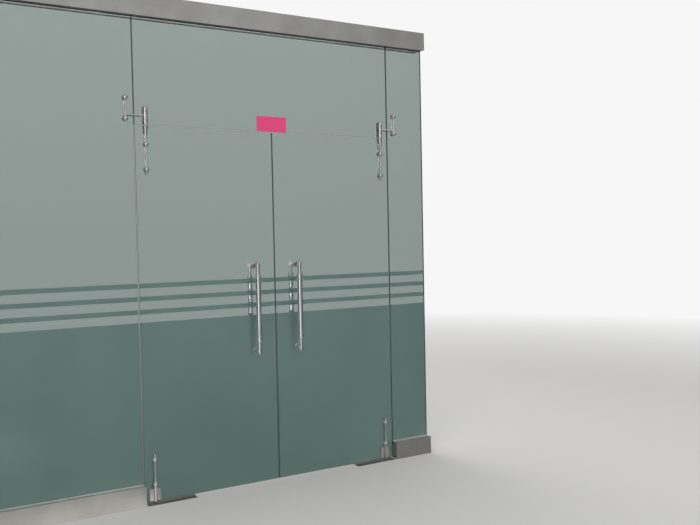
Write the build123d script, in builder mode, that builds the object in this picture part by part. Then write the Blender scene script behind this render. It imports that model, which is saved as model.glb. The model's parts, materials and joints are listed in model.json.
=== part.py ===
from build123d import *
import os

# Double-action glass entrance: two leaves, a transom and two sidelights of toughened glass, held
# between a clad header and two clad plinths. The origin is on the finished floor, on the meeting
# line of the leaves and in the middle of the glass. +X is to the right as seen from the approach
# side, which is -Y, and +Z is up. All sizes are in millimetres.

# Glass panes
GLASS_THICKNESS = 12.0
ARRIS = 1.0
LEAF_WIDTH = 860.0
LEAF_HEIGHT = 2190.0
LEAF_GAP = 4.0
LEAF_TOP_GAP = 3.0
FLOOR_GAP = 9.0
TRANSOM_HEIGHT = 614.0
LEFT_SIDELIGHT_WIDTH = 865.0
RIGHT_SIDELIGHT_WIDTH = 286.0
WALL_JOINT = 3.0
JOINT_RECESS = 1.0

# Header and plinth casings of folded sheet
CASING_DEPTH = 108.0
SHEET = 1.5
CASING_LIP = 4.0
HEADER_HEIGHT = 120.0
PLINTH_HEIGHT = 120.0
ADHESIVE = 0.5
TUBE_WALL = 3.0
ANCHOR_HOLE = 13.0
ANCHOR_COUNT = 4
ANCHOR_SPACING = 900.0

# Glazing channels
CHANNEL_WALL = 3.0
CHANNEL_FLANGE_WALL = 2.0
CHANNEL_DEPTH = 30.0
CHANNEL_FLANGE_EDGE = 30.0
FLANGE_JOINT = 1.0
SEAL_THICKNESS = 4.0
SEAL_DEPTH = 20.0
HEAD_CLEARANCE = 8.0
BLOCK_HEIGHT = 6.0
BLOCK_LENGTH = 80.0
BLOCK_INSET = 60.0

# Frosted film on the inner faces
FILM_THICKNESS = 0.3
FILM_INSET = 2.0
FILM_TOP = 1060.0
STRIPE_HEIGHT = 28.0
STRIPE_GAP = 48.0
STRIPE_COUNT = 3
FILM_CLEARANCE = 0.5

# Bead clamps
PIVOT_INSET = 61.0
AXIS_OFFSET = 9.0
GASKET = 1.0
BEAD_DIAMETER = 30.0
ROD_DIAMETER = 10.0
BODY_DIAMETER = 26.0
NECK_DIAMETER = 16.0
FOOT_DIAMETER = 18.0
FINIAL_DIAMETER = 14.0
FINIAL_REACH = 24.0
SIDELIGHT_BEAD_INSET = 48.0
SIDELIGHT_BEAD_RISE = 33.0
SIDELIGHT_BEAD_PITCH = 118.0
TRANSOM_BEAD_RISE = 35.0
TRANSOM_BEAD_PITCH = 48.0
ARM_RISE = 54.0
COLUMN_CROWN = 14.0
LEAF_BEAD_PITCH = 146.0
TOP_BEAD_DROP = 106.0
TAPER_LENGTH = 57.0
NECK_BEAD_DROP = 67.0
BOTTOM_BEAD_RISE = 104.0
CLAMP_EDGE_GAP = 2.0

# Through studs and the nylon bushes round them
STUD_DIAMETER = 10.0
STUD_FIT = 0.1
STUD_BITE = 11.0
STUD_END_GAP = 0.5
GLASS_HOLE = 16.0
SLEEVE_FIT = 0.2
SLEEVE_SPLIT = 0.1
BUSH_FLANGE = 28.0

# Top pivot
PIVOT_PIN_DIAMETER = 12.0
PIVOT_RUNNING_FIT = 0.05
PIVOT_COLLAR_DIAMETER = 22.0
PIVOT_COLLAR_HEIGHT = 12.0
PIVOT_PIN_LENGTH = 28.0
PIVOT_BUSH_DIAMETER = 18.0
PIVOT_BUSH_HEIGHT = 24.0
PIVOT_BUSH_FLOOR = 2.0
SEAT_FIT = 0.1
NOTCH_CLEARANCE = 1.5
NOTCH_CORNER = 3.0

# Floor spring, its spindle and the shoe in the foot of the leaf
SHOE_WIDTH = 64.0
SHOE_HEIGHT = 76.0
SHOE_CORNER = 8.0
SHOE_CLEARANCE = 1.0
SHOE_BOLT_DIAMETER = 8.0
SHOE_BOLT_RISE = 50.0
SPINDLE_DIAMETER = 20.0
SPINDLE_DEPTH = 30.0
SPINDLE_SHOULDER_GAP = 2.0
TENON_WIDTH = 20.0
TENON_THICKNESS = 10.0
TENON_LENGTH = 20.0
TENON_END_GAP = 1.0
SPRING_LENGTH = 270.0
SPRING_WIDTH = 70.0
SPRING_HEIGHT = 44.0
SPRING_CORNER = 8.0
SPRING_TOP_DRAFT = 3.0
PIVOT_TO_SPRING_END = 40.0
BOX_SHEET = 1.5
BOX_END_CLEARANCE = 8.5
BOX_SIDE_CLEARANCE = 11.5
BOX_TOP_CLEARANCE = 4.5
COVER_MARGIN = 2.0
COVER_THICKNESS = 1.5
COVER_CORNER = 3.0
COVER_HOLE_GAP = 2.0
SCREW_DIAMETER = 5.0
SCREW_HEAD = 8.0
SCREW_LENGTH = 14.0
SCREW_FIT = 0.1
SCREW_REACHES = (40.0, 215.0)

# Pull handles
PULL_INSET = 143.0
PULL_LENGTH = 576.0
PULL_CENTRE_HEIGHT = 1103.0
PULL_STANDOFF = 62.0
PULL_DIAMETER = 32.0
PULL_END_DIAMETER = 20.0
PULL_RING_DIAMETER = 38.0
PULL_RING_HEIGHT = 9.0
PULL_RING_REACH = 80.0
PULL_SLEEVE_DIAMETER = 34.0
PULL_SLEEVE_HEIGHT = 24.0
PULL_BEAD_DIAMETER = 36.0
PULL_BEAD_HEIGHT = 5.0
POST_REACH = 24.0
POST_DIAMETER = 30.0
POST_SADDLE_DEPTH = 10.0
POST_END_RADIUS = 3.0
POST_BORE_FIT = 0.05
ROSETTE_DIAMETER = 36.0
ROSETTE_THICKNESS = 4.0
PULL_STUD_BITE = 24.0

# Bare plate on the transom
SIGN_WIDTH = 200.0
SIGN_HEIGHT = 95.0
SIGN_THICKNESS = 3.0
SIGN_CORNER = 4.0
SIGN_RISE = 1.0

# Levels and lines worked out from the sizes above
HALF_GLASS = GLASS_THICKNESS / 2
MEETING_EDGE = LEAF_GAP / 2
LEAF_EDGE = MEETING_EDGE + LEAF_WIDTH
SIDELIGHT_EDGE = LEAF_EDGE + LEAF_GAP
LEFT_WALL = SIDELIGHT_EDGE + LEFT_SIDELIGHT_WIDTH + WALL_JOINT
RIGHT_WALL = SIDELIGHT_EDGE + RIGHT_SIDELIGHT_WIDTH + WALL_JOINT
LEAF_TOP = FLOOR_GAP + LEAF_HEIGHT
TRANSOM_BOTTOM = LEAF_TOP + LEAF_TOP_GAP
HEADER_BOTTOM = TRANSOM_BOTTOM + TRANSOM_HEIGHT
HEADER_TOP = HEADER_BOTTOM + HEADER_HEIGHT
SOFFIT = HEADER_BOTTOM + CASING_LIP
LEDGE = PLINTH_HEIGHT - CASING_LIP
HEAD_WEB = SOFFIT + CHANNEL_DEPTH
BASE_WEB = LEDGE - CHANNEL_DEPTH
FIXED_GLASS_TOP = HEAD_WEB - HEAD_CLEARANCE
FIXED_GLASS_BOTTOM = BASE_WEB + BLOCK_HEIGHT
CHANNEL_HALF_WIDTH = HALF_GLASS + SEAL_THICKNESS
CHANNEL_MOUTH = (-CHANNEL_HALF_WIDTH, CHANNEL_HALF_WIDTH)
PIVOT_X = LEAF_EDGE - PIVOT_INSET
CLAMP_FACE = HALF_GLASS + GASKET
CLAMP_AXIS = HALF_GLASS + AXIS_OFFSET
PIVOT_COLLAR_BOTTOM = TRANSOM_BOTTOM + CLAMP_EDGE_GAP
CLAMP_TOP = LEAF_TOP - CLAMP_EDGE_GAP
PIVOT_BUSH_BOTTOM = CLAMP_TOP - PIVOT_BUSH_HEIGHT
SPRING_START = PIVOT_X + PIVOT_TO_SPRING_END
SPRING_CENTRE_X = SPRING_START - SPRING_LENGTH / 2
SPRING_TOP = -BOX_TOP_CLEARANCE
SPRING_BOTTOM = SPRING_TOP - SPRING_HEIGHT
BOX_DEPTH = BOX_SHEET - SPRING_BOTTOM
BOX_LENGTH = SPRING_LENGTH + 2 * (BOX_END_CLEARANCE + BOX_SHEET)
BOX_WIDTH = SPRING_WIDTH + 2 * (BOX_SIDE_CLEARANCE + BOX_SHEET)
PULL_AXIS = HALF_GLASS + PULL_STANDOFF

# Widths along X of what stands side by side
RIGHT_LEAF = (MEETING_EDGE, LEAF_EDGE)
RIGHT_SIDELIGHT = (SIDELIGHT_EDGE, SIDELIGHT_EDGE + RIGHT_SIDELIGHT_WIDTH)
LEFT_SIDELIGHT = (-SIDELIGHT_EDGE - LEFT_SIDELIGHT_WIDTH, -SIDELIGHT_EDGE)
RIGHT_PLINTH = (SIDELIGHT_EDGE, RIGHT_WALL)
LEFT_PLINTH = (-LEFT_WALL, -SIDELIGHT_EDGE)

# Points, as (x, z) on the right-hand side, where studs pass through the glass
SIDELIGHT_BEAD_X = SIDELIGHT_EDGE + SIDELIGHT_BEAD_INSET
SIDELIGHT_BEADS = [
    (SIDELIGHT_BEAD_X, TRANSOM_BOTTOM + SIDELIGHT_BEAD_RISE),
    (SIDELIGHT_BEAD_X, TRANSOM_BOTTOM + SIDELIGHT_BEAD_RISE + SIDELIGHT_BEAD_PITCH),
]
TRANSOM_BEADS = [
    (PIVOT_X, TRANSOM_BOTTOM + TRANSOM_BEAD_RISE),
    (PIVOT_X, TRANSOM_BOTTOM + TRANSOM_BEAD_RISE + TRANSOM_BEAD_PITCH),
]
TOP_LEAF_BEADS = [
    (PIVOT_X, LEAF_TOP - TOP_BEAD_DROP),
    (PIVOT_X, LEAF_TOP - TOP_BEAD_DROP - LEAF_BEAD_PITCH),
]
BOTTOM_LEAF_BEADS = [
    (PIVOT_X, FLOOR_GAP + BOTTOM_BEAD_RISE),
    (PIVOT_X, FLOOR_GAP + BOTTOM_BEAD_RISE + LEAF_BEAD_PITCH),
]
POST_HEIGHTS = [
    PULL_CENTRE_HEIGHT - PULL_LENGTH / 2 + POST_REACH,
    PULL_CENTRE_HEIGHT + PULL_LENGTH / 2 - POST_REACH,
]
PULL_POSTS = [(PULL_INSET, height) for height in POST_HEIGHTS]
LEAF_POINTS = TOP_LEAF_BEADS + BOTTOM_LEAF_BEADS + PULL_POSTS


def write(piece, name):
    """Label a finished piece and write it as one STEP file."""
    piece.part.label = name
    export_step(piece.part, f"parts/{name}.step")


def mirrored_points(points):
    """The same (x, z) points on the left-hand side."""
    return [(-x, z) for x, z in points]


def mirrored_copy(piece, plane):
    """A separate piece that is the mirror image of another."""
    with BuildPart() as copy:
        add(mirror(piece.part, about=plane, mode=Mode.PRIVATE))
    return copy


def box_between(x_range, y_range, z_range):
    """A block between two limits along each axis."""
    centre = [(low + high) / 2 for low, high in (x_range, y_range, z_range)]
    sizes = [high - low for low, high in (x_range, y_range, z_range)]
    with Locations(tuple(centre)):
        Box(*sizes)


def rectangle_between(x_range, y_range, mode=Mode.ADD):
    """A rectangle between two limits along each axis of its sketch."""
    with Locations(((x_range[0] + x_range[1]) / 2, (y_range[0] + y_range[1]) / 2)):
        Rectangle(x_range[1] - x_range[0], y_range[1] - y_range[0], mode=mode)


# Glass


def glass_pane(x_range, z_range, points, notches=()):
    """A pane with arrised edges, a hole at each point and rounded notches in its edges.

    Each notch is (x, edge height, width, depth, corner radius).
    """
    with BuildPart() as pane:
        with BuildSketch(Plane.XZ):
            rectangle_between(x_range, z_range)
        extrude(amount=HALF_GLASS, both=True)
        chamfer(pane.edges(), length=ARRIS)
        with BuildSketch(Plane.XZ):
            with Locations(*points):
                Circle(GLASS_HOLE / 2)
            for x, edge, width, depth, radius in notches:
                with Locations((x, edge)):
                    RectangleRounded(width, 2 * depth, radius)
        extrude(amount=GLASS_THICKNESS, both=True, mode=Mode.SUBTRACT)
    return pane


def pivot_notch(edge, diameter, height):
    """The notch in a pane's edge round a turned pivot piece."""
    width = diameter + 2 * NOTCH_CLEARANCE
    depth = CLAMP_EDGE_GAP + height + NOTCH_CLEARANCE
    return (PIVOT_X, edge, width, depth, NOTCH_CORNER)


TOP_NOTCH = pivot_notch(LEAF_TOP, PIVOT_BUSH_DIAMETER, PIVOT_BUSH_HEIGHT)
TRANSOM_NOTCH = pivot_notch(TRANSOM_BOTTOM, PIVOT_COLLAR_DIAMETER, PIVOT_COLLAR_HEIGHT)
SHOE_NOTCH = (
    PIVOT_X,
    FLOOR_GAP,
    SHOE_WIDTH + 2 * SHOE_CLEARANCE,
    SHOE_HEIGHT + SHOE_CLEARANCE,
    SHOE_CORNER + SHOE_CLEARANCE,
)


def mirrored_notch(notch):
    """The same notch on the left-hand side."""
    return (-notch[0],) + notch[1:]


transom_glass = glass_pane(
    (-LEAF_EDGE, LEAF_EDGE),
    (TRANSOM_BOTTOM, FIXED_GLASS_TOP),
    TRANSOM_BEADS + mirrored_points(TRANSOM_BEADS),
    (TRANSOM_NOTCH, mirrored_notch(TRANSOM_NOTCH)),
)
right_leaf_glass = glass_pane(
    RIGHT_LEAF,
    (FLOOR_GAP, LEAF_TOP),
    LEAF_POINTS,
    (TOP_NOTCH, SHOE_NOTCH),
)
right_sidelight_glass = glass_pane(
    RIGHT_SIDELIGHT,
    (FIXED_GLASS_BOTTOM, FIXED_GLASS_TOP),
    SIDELIGHT_BEADS,
)
left_sidelight_glass = glass_pane(
    LEFT_SIDELIGHT,
    (FIXED_GLASS_BOTTOM, FIXED_GLASS_TOP),
    mirrored_points(SIDELIGHT_BEADS),
)

with BuildPart() as silicone_joints:
    for side in (-1, 1):
        joint_edges = sorted((side * LEAF_EDGE, side * SIDELIGHT_EDGE))
        box_between(
            joint_edges,
            (-HALF_GLASS + JOINT_RECESS, HALF_GLASS - JOINT_RECESS),
            (TRANSOM_BOTTOM, FIXED_GLASS_TOP),
        )
    for wall_joint in ((RIGHT_SIDELIGHT[1], RIGHT_WALL), (-LEFT_WALL, LEFT_SIDELIGHT[0])):
        box_between(
            wall_joint,
            (-HALF_GLASS + JOINT_RECESS, HALF_GLASS - JOINT_RECESS),
            (FIXED_GLASS_BOTTOM, FIXED_GLASS_TOP),
        )


# Frosted film, a field with stripes above it


def frosted_film(x_range, bottom, points=(), notches=()):
    """Film on the inner face of a pane, cut round the bushes and the shoe."""
    columns = (x_range[0] + FILM_INSET, x_range[1] - FILM_INSET)
    with BuildPart() as film:
        with BuildSketch(Plane.XZ.offset(-HALF_GLASS)):
            rectangle_between(columns, (bottom, FILM_TOP))
            for stripe in range(STRIPE_COUNT):
                stripe_bottom = FILM_TOP + STRIPE_GAP + stripe * (STRIPE_HEIGHT + STRIPE_GAP)
                rectangle_between(columns, (stripe_bottom, stripe_bottom + STRIPE_HEIGHT))
            for x, z in points:
                with Locations((x, z)):
                    Circle(BUSH_FLANGE / 2 + FILM_CLEARANCE, mode=Mode.SUBTRACT)
            for x, edge, width, depth, radius in notches:
                with Locations((x, edge)):
                    RectangleRounded(width, 2 * depth, radius, mode=Mode.SUBTRACT)
        extrude(amount=-FILM_THICKNESS)
    return film


right_leaf_film = frosted_film(RIGHT_LEAF, FLOOR_GAP + FILM_INSET, LEAF_POINTS, (SHOE_NOTCH,))
right_sidelight_film = frosted_film(RIGHT_SIDELIGHT, LEDGE + FILM_INSET)
left_sidelight_film = frosted_film(LEFT_SIDELIGHT, LEDGE + FILM_INSET)


# Header: folded casing, steel tube inside it and glazing channel under it

CASING_OUTSIDE = CASING_DEPTH / 2
CASING_INSIDE = CASING_OUTSIDE - SHEET
CASING_SLOT = CHANNEL_FLANGE_EDGE + FLANGE_JOINT
TUBE_HALF_WIDTH = CASING_INSIDE - ADHESIVE
INSIDE = (-CASING_INSIDE, CASING_INSIDE)
HEADER_LENGTH = LEFT_WALL + RIGHT_WALL


def anchor_holes(level, wall):
    """The row of anchor holes through a wall under the given level."""
    with BuildSketch(Plane.XY.offset(level)) as holes:
        with Locations(((RIGHT_WALL - LEFT_WALL) / 2, 0)):
            with GridLocations(ANCHOR_SPACING, 0, ANCHOR_COUNT, 1):
                Circle(ANCHOR_HOLE / 2)
    extrude(holes.sketch, amount=-wall, mode=Mode.SUBTRACT)


with BuildPart() as header_casing:
    with BuildSketch(Plane.YZ.offset(-LEFT_WALL)):
        rectangle_between((-CASING_OUTSIDE, CASING_OUTSIDE), (HEADER_BOTTOM, HEADER_TOP))
        rectangle_between(INSIDE, (SOFFIT + SHEET, HEADER_TOP - SHEET), Mode.SUBTRACT)
        rectangle_between(INSIDE, (HEADER_BOTTOM, SOFFIT), Mode.SUBTRACT)
        rectangle_between((-CASING_SLOT, CASING_SLOT), (SOFFIT, SOFFIT + SHEET), Mode.SUBTRACT)
    extrude(amount=HEADER_LENGTH)
    anchor_holes(HEADER_TOP, SHEET)

HEADER_TUBE_BOTTOM = HEAD_WEB + CHANNEL_WALL
HEADER_TUBE_TOP = HEADER_TOP - SHEET

with BuildPart() as header_tube:
    with BuildSketch(Plane.YZ.offset(-LEFT_WALL)):
        rectangle_between((-TUBE_HALF_WIDTH, TUBE_HALF_WIDTH), (HEADER_TUBE_BOTTOM, HEADER_TUBE_TOP))
        rectangle_between(
            (-TUBE_HALF_WIDTH + TUBE_WALL, TUBE_HALF_WIDTH - TUBE_WALL),
            (HEADER_TUBE_BOTTOM + TUBE_WALL, HEADER_TUBE_TOP - TUBE_WALL),
            Mode.SUBTRACT,
        )
    extrude(amount=HEADER_LENGTH)
    anchor_holes(HEADER_TUBE_TOP, TUBE_WALL)


def glazing_channel(x_range, web, mouth):
    """A flanged channel along X whose mouth opens at the casing's slot.

    The web is the inner face that the glass end points at, and the mouth is level with the casing.
    """
    outwards = 1 if web > mouth else -1
    outer_half_width = CHANNEL_HALF_WIDTH + CHANNEL_WALL
    back = web + outwards * CHANNEL_WALL
    flange_back = mouth + outwards * CHANNEL_FLANGE_WALL
    with BuildPart() as channel:
        with BuildSketch(Plane.YZ.offset(x_range[0])):
            rectangle_between((-outer_half_width, outer_half_width), sorted((mouth, back)))
            rectangle_between((-CHANNEL_FLANGE_EDGE, CHANNEL_FLANGE_EDGE), sorted((mouth, flange_back)))
            rectangle_between(CHANNEL_MOUTH, sorted((mouth, web)), Mode.SUBTRACT)
        extrude(amount=x_range[1] - x_range[0])
    return channel


header_channel = glazing_channel((-LEFT_WALL, RIGHT_WALL), HEAD_WEB, SOFFIT)
left_plinth_channel = glazing_channel((-LEFT_WALL, -SIDELIGHT_EDGE - SHEET), BASE_WEB, LEDGE)
right_plinth_channel = glazing_channel((SIDELIGHT_EDGE + SHEET, RIGHT_WALL), BASE_WEB, LEDGE)

with BuildPart() as glazing_seals:
    for faces in ((-CHANNEL_HALF_WIDTH, -HALF_GLASS), (HALF_GLASS, CHANNEL_HALF_WIDTH)):
        box_between((-LEFT_WALL, RIGHT_WALL), faces, (SOFFIT, SOFFIT + SEAL_DEPTH))
        box_between(LEFT_PLINTH, faces, (LEDGE - SEAL_DEPTH, LEDGE))
        box_between(RIGHT_PLINTH, faces, (LEDGE - SEAL_DEPTH, LEDGE))

with BuildPart() as setting_blocks:
    for near, far in (RIGHT_SIDELIGHT, LEFT_SIDELIGHT):
        for start in (near + BLOCK_INSET, far - BLOCK_INSET - BLOCK_LENGTH):
            box_between((start, start + BLOCK_LENGTH), CHANNEL_MOUTH, (BASE_WEB, FIXED_GLASS_BOTTOM))


# Plinths: folded casing with an end cap beside the leaf, and a steel tube inside


def plinth_casing(x_range, cap_range):
    """A casing open to the floor and at the wall, closed by a slotted cap beside the leaf."""
    with BuildPart() as casing:
        with BuildSketch(Plane.YZ.offset(x_range[0])):
            rectangle_between((-CASING_OUTSIDE, CASING_OUTSIDE), (0, PLINTH_HEIGHT))
            rectangle_between(INSIDE, (0, LEDGE - SHEET), Mode.SUBTRACT)
            rectangle_between(INSIDE, (LEDGE, PLINTH_HEIGHT), Mode.SUBTRACT)
            rectangle_between((-CASING_SLOT, CASING_SLOT), (LEDGE - SHEET, LEDGE), Mode.SUBTRACT)
        extrude(amount=x_range[1] - x_range[0])
        with BuildSketch(Plane.YZ.offset(cap_range[0])):
            rectangle_between(INSIDE, (0, LEDGE))
            rectangle_between(CHANNEL_MOUTH, (BASE_WEB, LEDGE), Mode.SUBTRACT)
        extrude(amount=cap_range[1] - cap_range[0])
    return casing


def plinth_tube(x_range):
    """The steel tube under the glazing channel that carries the casing."""
    top = BASE_WEB - CHANNEL_WALL
    with BuildPart() as tube:
        with BuildSketch(Plane.YZ.offset(x_range[0])):
            rectangle_between((-TUBE_HALF_WIDTH, TUBE_HALF_WIDTH), (0, top))
            rectangle_between(
                (-TUBE_HALF_WIDTH + TUBE_WALL, TUBE_HALF_WIDTH - TUBE_WALL),
                (TUBE_WALL, top - TUBE_WALL),
                Mode.SUBTRACT,
            )
        extrude(amount=x_range[1] - x_range[0])
    return tube


left_plinth_casing = plinth_casing(LEFT_PLINTH, (-SIDELIGHT_EDGE - SHEET, -SIDELIGHT_EDGE))
right_plinth_casing = plinth_casing(RIGHT_PLINTH, (SIDELIGHT_EDGE, SIDELIGHT_EDGE + SHEET))
left_plinth_tube = plinth_tube((-LEFT_WALL, -SIDELIGHT_EDGE - SHEET))
right_plinth_tube = plinth_tube((SIDELIGHT_EDGE + SHEET, RIGHT_WALL))


# Bead clamps. Each is a casting of balls and rods with a flat cut parallel to the glass. The
# castings are made for the right-hand side of the approach face and mirrored for the others.


def upright(x, z_range, diameter):
    """A vertical rod on the clamp's axis in front of the glass."""
    with Locations((x, -CLAMP_AXIS, (z_range[0] + z_range[1]) / 2)):
        Cylinder(diameter / 2, z_range[1] - z_range[0])


def balls(points, diameter):
    """Balls on the clamp's axis in front of the glass."""
    with Locations(*[(x, -CLAMP_AXIS, z) for x, z in points]):
        Sphere(diameter / 2)


def flatten_and_bore(points, depth, diameter):
    """Cut the flat that faces the glass and bore the blind stud holes into it."""
    split(bisect_by=Plane.XZ.offset(CLAMP_FACE), keep=Keep.TOP)
    with BuildSketch(Plane.XZ.offset(CLAMP_FACE)) as bores:
        with Locations(*points):
            Circle(diameter / 2 + STUD_FIT)
    extrude(bores.sketch, amount=depth, mode=Mode.SUBTRACT)


def pivot_seat(bottom, diameter, height):
    """The half-round seat in a casting for a turned piece on the pivot line."""
    with BuildSketch(Plane.XY.offset(bottom)) as seat:
        with Locations((PIVOT_X, 0)):
            Circle(diameter / 2 + SEAT_FIT)
    extrude(seat.sketch, amount=height + SEAT_FIT, mode=Mode.SUBTRACT)


COLUMN_BALL_CENTRE = TRANSOM_BEADS[1][1] + COLUMN_CROWN
ARM_HEIGHT = TRANSOM_BOTTOM + ARM_RISE

with BuildPart() as right_corner_clamp_front:
    upright(SIDELIGHT_BEAD_X, (SIDELIGHT_BEADS[0][1], SIDELIGHT_BEADS[1][1]), ROD_DIAMETER)
    with BuildSketch(Plane.YZ.offset(PIVOT_X)):
        with Locations((-CLAMP_AXIS, ARM_HEIGHT)):
            Circle(ROD_DIAMETER / 2)
    extrude(amount=SIDELIGHT_BEAD_X - PIVOT_X)
    upright(PIVOT_X, (PIVOT_COLLAR_BOTTOM, COLUMN_BALL_CENTRE), BODY_DIAMETER)
    balls([(PIVOT_X, COLUMN_BALL_CENTRE)], BODY_DIAMETER)
    balls(SIDELIGHT_BEADS + TRANSOM_BEADS, BEAD_DIAMETER)
    flatten_and_bore(SIDELIGHT_BEADS + TRANSOM_BEADS, STUD_BITE + STUD_END_GAP, STUD_DIAMETER)
    pivot_seat(PIVOT_COLLAR_BOTTOM, PIVOT_COLLAR_DIAMETER, PIVOT_COLLAR_HEIGHT)

with BuildPart() as right_leaf_top_clamp_front:
    taper_bottom = CLAMP_TOP - TAPER_LENGTH
    finial = TOP_LEAF_BEADS[1][1] - FINIAL_REACH
    with Locations((PIVOT_X, -CLAMP_AXIS, taper_bottom + TAPER_LENGTH / 2)):
        Cone(NECK_DIAMETER / 2, BODY_DIAMETER / 2, TAPER_LENGTH)
    upright(PIVOT_X, (finial, taper_bottom), ROD_DIAMETER)
    balls([(PIVOT_X, CLAMP_TOP - NECK_BEAD_DROP)], NECK_DIAMETER)
    balls([(PIVOT_X, finial)], FINIAL_DIAMETER)
    balls(TOP_LEAF_BEADS, BEAD_DIAMETER)
    flatten_and_bore(TOP_LEAF_BEADS, STUD_BITE + STUD_END_GAP, STUD_DIAMETER)
    pivot_seat(PIVOT_BUSH_BOTTOM, PIVOT_BUSH_DIAMETER, PIVOT_BUSH_HEIGHT)

SHOE_BOLT = (PIVOT_X, FLOOR_GAP + SHOE_BOLT_RISE)

with BuildPart() as right_leaf_bottom_clamp_front:
    finial = BOTTOM_LEAF_BEADS[1][1] + FINIAL_REACH
    upright(PIVOT_X, (FLOOR_GAP, BOTTOM_LEAF_BEADS[0][1]), FOOT_DIAMETER)
    upright(PIVOT_X, (BOTTOM_LEAF_BEADS[0][1], finial), ROD_DIAMETER)
    balls([(PIVOT_X, finial)], FINIAL_DIAMETER)
    balls(BOTTOM_LEAF_BEADS, BEAD_DIAMETER)
    flatten_and_bore(BOTTOM_LEAF_BEADS, STUD_BITE + STUD_END_GAP, STUD_DIAMETER)
    with BuildSketch(Plane.XZ.offset(CLAMP_FACE)):
        with Locations(SHOE_BOLT):
            Circle(SHOE_BOLT_DIAMETER / 2 + STUD_FIT)
    extrude(amount=STUD_BITE + STUD_END_GAP, mode=Mode.SUBTRACT)


def studs(points, diameter, bite):
    """Plain studs through the glass, ending inside the pieces on both faces."""
    with BuildSketch(Plane.XZ) as sections:
        with Locations(*points):
            Circle(diameter / 2)
    extrude(sections.sketch, amount=CLAMP_FACE + bite, both=True)


def glass_bushes(points):
    """A pair of flanged nylon bushes in each glass hole."""
    with BuildPart() as bushes:
        with BuildSketch(Plane.XZ.offset(HALF_GLASS)):
            with Locations(*points):
                Circle(BUSH_FLANGE / 2)
        extrude(amount=GASKET)
        with BuildSketch(Plane.XZ.offset(SLEEVE_SPLIT)):
            with Locations(*points):
                Circle(GLASS_HOLE / 2 - SLEEVE_FIT)
        extrude(amount=HALF_GLASS - SLEEVE_SPLIT)
        with BuildSketch(Plane.XZ):
            with Locations(*points):
                Circle(STUD_DIAMETER / 2 + STUD_FIT)
        extrude(amount=CLAMP_FACE, mode=Mode.SUBTRACT)
        mirror(about=Plane.XZ)
    return bushes


FIXED_POINTS = SIDELIGHT_BEADS + TRANSOM_BEADS

with BuildPart() as corner_clamp_studs:
    studs(FIXED_POINTS + mirrored_points(FIXED_POINTS), STUD_DIAMETER, STUD_BITE)

corner_clamp_bushes = glass_bushes(FIXED_POINTS + mirrored_points(FIXED_POINTS))
right_leaf_bushes = glass_bushes(LEAF_POINTS)

with BuildPart() as right_leaf_clamp_studs:
    studs(TOP_LEAF_BEADS + BOTTOM_LEAF_BEADS, STUD_DIAMETER, STUD_BITE)
    studs([SHOE_BOLT], SHOE_BOLT_DIAMETER, STUD_BITE)


# Top pivot: a collared pin in the corner clamp turns in a bush in the head of the leaf

with BuildPart() as top_pivot_pins:
    with BuildSketch(Plane.XY.offset(PIVOT_COLLAR_BOTTOM)):
        with Locations((PIVOT_X, 0), (-PIVOT_X, 0)):
            Circle(PIVOT_COLLAR_DIAMETER / 2)
    extrude(amount=PIVOT_COLLAR_HEIGHT)
    with BuildSketch(Plane.XY.offset(PIVOT_COLLAR_BOTTOM)):
        with Locations((PIVOT_X, 0), (-PIVOT_X, 0)):
            Circle(PIVOT_PIN_DIAMETER / 2)
    extrude(amount=-PIVOT_PIN_LENGTH)

with BuildPart() as right_leaf_pivot_bush:
    with BuildSketch(Plane.XY.offset(PIVOT_BUSH_BOTTOM)):
        with Locations((PIVOT_X, 0)):
            Circle(PIVOT_BUSH_DIAMETER / 2)
    extrude(amount=PIVOT_BUSH_HEIGHT)
    with BuildSketch(Plane.XY.offset(PIVOT_BUSH_BOTTOM + PIVOT_BUSH_FLOOR)):
        with Locations((PIVOT_X, 0)):
            Circle(PIVOT_PIN_DIAMETER / 2 + PIVOT_RUNNING_FIT)
    extrude(amount=PIVOT_BUSH_HEIGHT, mode=Mode.SUBTRACT)


# Bottom pivot: a shoe in the foot of the leaf stands on the spindle of the floor spring

with BuildPart() as right_leaf_shoe:
    with BuildSketch(Plane.XZ):
        rectangle_between(
            (PIVOT_X - SHOE_WIDTH / 2, PIVOT_X + SHOE_WIDTH / 2),
            (FLOOR_GAP, FLOOR_GAP + SHOE_HEIGHT),
        )
        with Locations(SHOE_BOLT):
            Circle(SHOE_BOLT_DIAMETER / 2 + STUD_FIT, mode=Mode.SUBTRACT)
    extrude(amount=CLAMP_FACE, both=True)
    fillet(right_leaf_shoe.edges().filter_by(Axis.Y).group_by(Axis.Z)[-1], radius=SHOE_CORNER)
    with BuildSketch(Plane.XY.offset(FLOOR_GAP)):
        with Locations((PIVOT_X, 0)):
            Rectangle(TENON_WIDTH + 2 * SEAT_FIT, TENON_THICKNESS + 2 * SEAT_FIT)
    extrude(amount=TENON_LENGTH + TENON_END_GAP, mode=Mode.SUBTRACT)

SPINDLE_SHOULDER = FLOOR_GAP - SPINDLE_SHOULDER_GAP
SPINDLE_BOTTOM = SPRING_TOP - SPINDLE_DEPTH

with BuildPart() as right_leaf_spindle:
    with BuildSketch(Plane.XY.offset(SPINDLE_BOTTOM)):
        with Locations((PIVOT_X, 0)):
            Circle(SPINDLE_DIAMETER / 2)
    extrude(amount=SPINDLE_SHOULDER - SPINDLE_BOTTOM)
    with BuildSketch(Plane.XY.offset(SPINDLE_SHOULDER)):
        with Locations((PIVOT_X, 0)):
            Rectangle(TENON_WIDTH, TENON_THICKNESS)
    extrude(amount=SPINDLE_SHOULDER_GAP + TENON_LENGTH)

SCREW_POINTS = [(PIVOT_X - reach, 0) for reach in SCREW_REACHES]

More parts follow.
